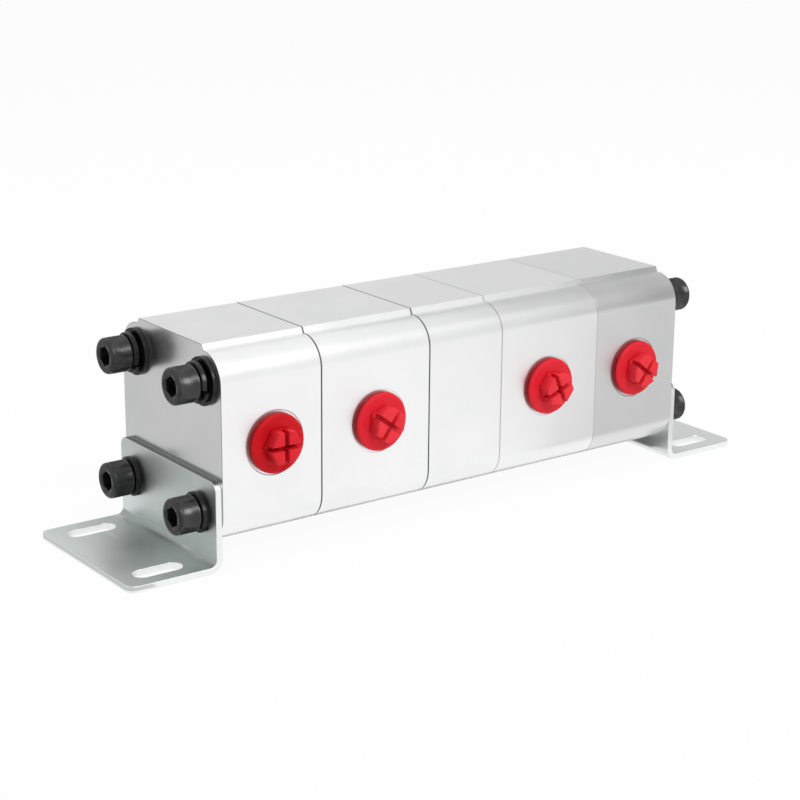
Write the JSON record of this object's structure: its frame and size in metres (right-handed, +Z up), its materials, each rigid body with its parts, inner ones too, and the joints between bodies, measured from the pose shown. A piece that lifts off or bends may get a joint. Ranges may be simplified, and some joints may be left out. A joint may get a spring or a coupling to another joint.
{
  "type": "gear flow divider",
  "caption": "Gear flow divider in a row of machined aluminium blocks with red shipping plugs in its ports, drawn together by cap screws and standing on slotted angle feet.",
  "frame": {"origin": "middle of the four foot slots, on the mounting plane", "axes": "+X along the row of blocks, ports face -Y, +Z up"},
  "size_m": [0.345, 0.0916, 0.0959],
  "materials": {
    "machined_aluminium": "fine satin machined",
    "zinc_plate": "blue-grey zinc plating",
    "black_steel": "black oxide",
    "washer_steel": "dark phosphated",
    "gear_steel": "ground steel",
    "bearing_alloy": "turned bearing alloy",
    "liner_bronze": "plain bearing bronze",
    "seal_rubber": "moulded nitrile rubber",
    "red_plastic": "moulded red plastic, satin gloss"
  },
  "bodies": {
    "housing": {"left_end_cover": "machined_aluminium", "left_gear_body": "machined_aluminium", "centre_block": "machined_aluminium", "right_gear_body": "machined_aluminium", "right_end_cover": "machined_aluminium", "left_foot": "zinc_plate", "right_foot": "zinc_plate", "left_tie_bolts": "black_steel", "right_tie_bolts": "black_steel", "left_flat_washers": "washer_steel", "right_flat_washers": "washer_steel", "left_spring_washers": "washer_steel", "right_spring_washers": "washer_steel", "left_outer_bearing_block": "bearing_alloy", "left_inner_bearing_block": "bearing_alloy", "right_inner_bearing_block": "bearing_alloy", "right_outer_bearing_block": "bearing_alloy", "left_outer_liners": "liner_bronze", "left_inner_liners": "liner_bronze", "right_inner_liners": "liner_bronze", "right_outer_liners": "liner_bronze", "left_outer_pressure_seal": "seal_rubber", "left_inner_pressure_seal": "seal_rubber", "right_inner_pressure_seal": "seal_rubber", "right_outer_pressure_seal": "seal_rubber", "left_cover_seal": "seal_rubber", "left_centre_seal": "seal_rubber", "right_centre_seal": "seal_rubber", "right_cover_seal": "seal_rubber", "dowel_pins": "gear_steel"},
    "drive_line": {"left_drive_gear": "gear_steel", "right_drive_gear": "gear_steel", "drive_coupling": "gear_steel"},
    "left_driven": {"left_driven_gear": "gear_steel"},
    "right_driven": {"right_driven_gear": "gear_steel"},
    "left_inlet_plug_body": {"left_inlet_plug": "red_plastic"},
    "left_outlet_plug_body": {"left_outlet_plug": "red_plastic"},
    "right_outlet_plug_body": {"right_outlet_plug": "red_plastic"},
    "right_inlet_plug_body": {"right_inlet_plug": "red_plastic"}
  },
  "joints": [
    {"name": "drive_spin", "type": "hinge", "parent": "housing", "child": "drive_line", "pos_m": [0, 0, 0.0675], "axis": [1, 0, 0], "continuous": true},
    {"name": "left_driven_spin", "type": "hinge", "parent": "housing", "child": "left_driven", "pos_m": [-0.04925, 0, 0.0375], "axis": [1, 0, 0], "continuous": true},
    {"name": "right_driven_spin", "type": "hinge", "parent": "housing", "child": "right_driven", "pos_m": [0.04925, 0, 0.0375], "axis": [1, 0, 0], "continuous": true},
    {"name": "left_inlet_plug_draw", "type": "slide", "parent": "housing", "child": "left_inlet_plug_body", "axis": [0, -1, 0], "range_m": [0, 0.03]},
    {"name": "left_outlet_plug_draw", "type": "slide", "parent": "housing", "child": "left_outlet_plug_body", "axis": [0, -1, 0], "range_m": [0, 0.03]},
    {"name": "right_outlet_plug_draw", "type": "slide", "parent": "housing", "child": "right_outlet_plug_body", "axis": [0, -1, 0], "range_m": [0, 0.03]},
    {"name": "right_inlet_plug_draw", "type": "slide", "parent": "housing", "child": "right_inlet_plug_body", "axis": [0, -1, 0], "range_m": [0, 0.03]}
  ],
  "couplings": [
    {"joint": "left_driven_spin", "follows": "drive_spin", "ratio": -1},
    {"joint": "right_driven_spin", "follows": "drive_spin", "ratio": -1}
  ]
}
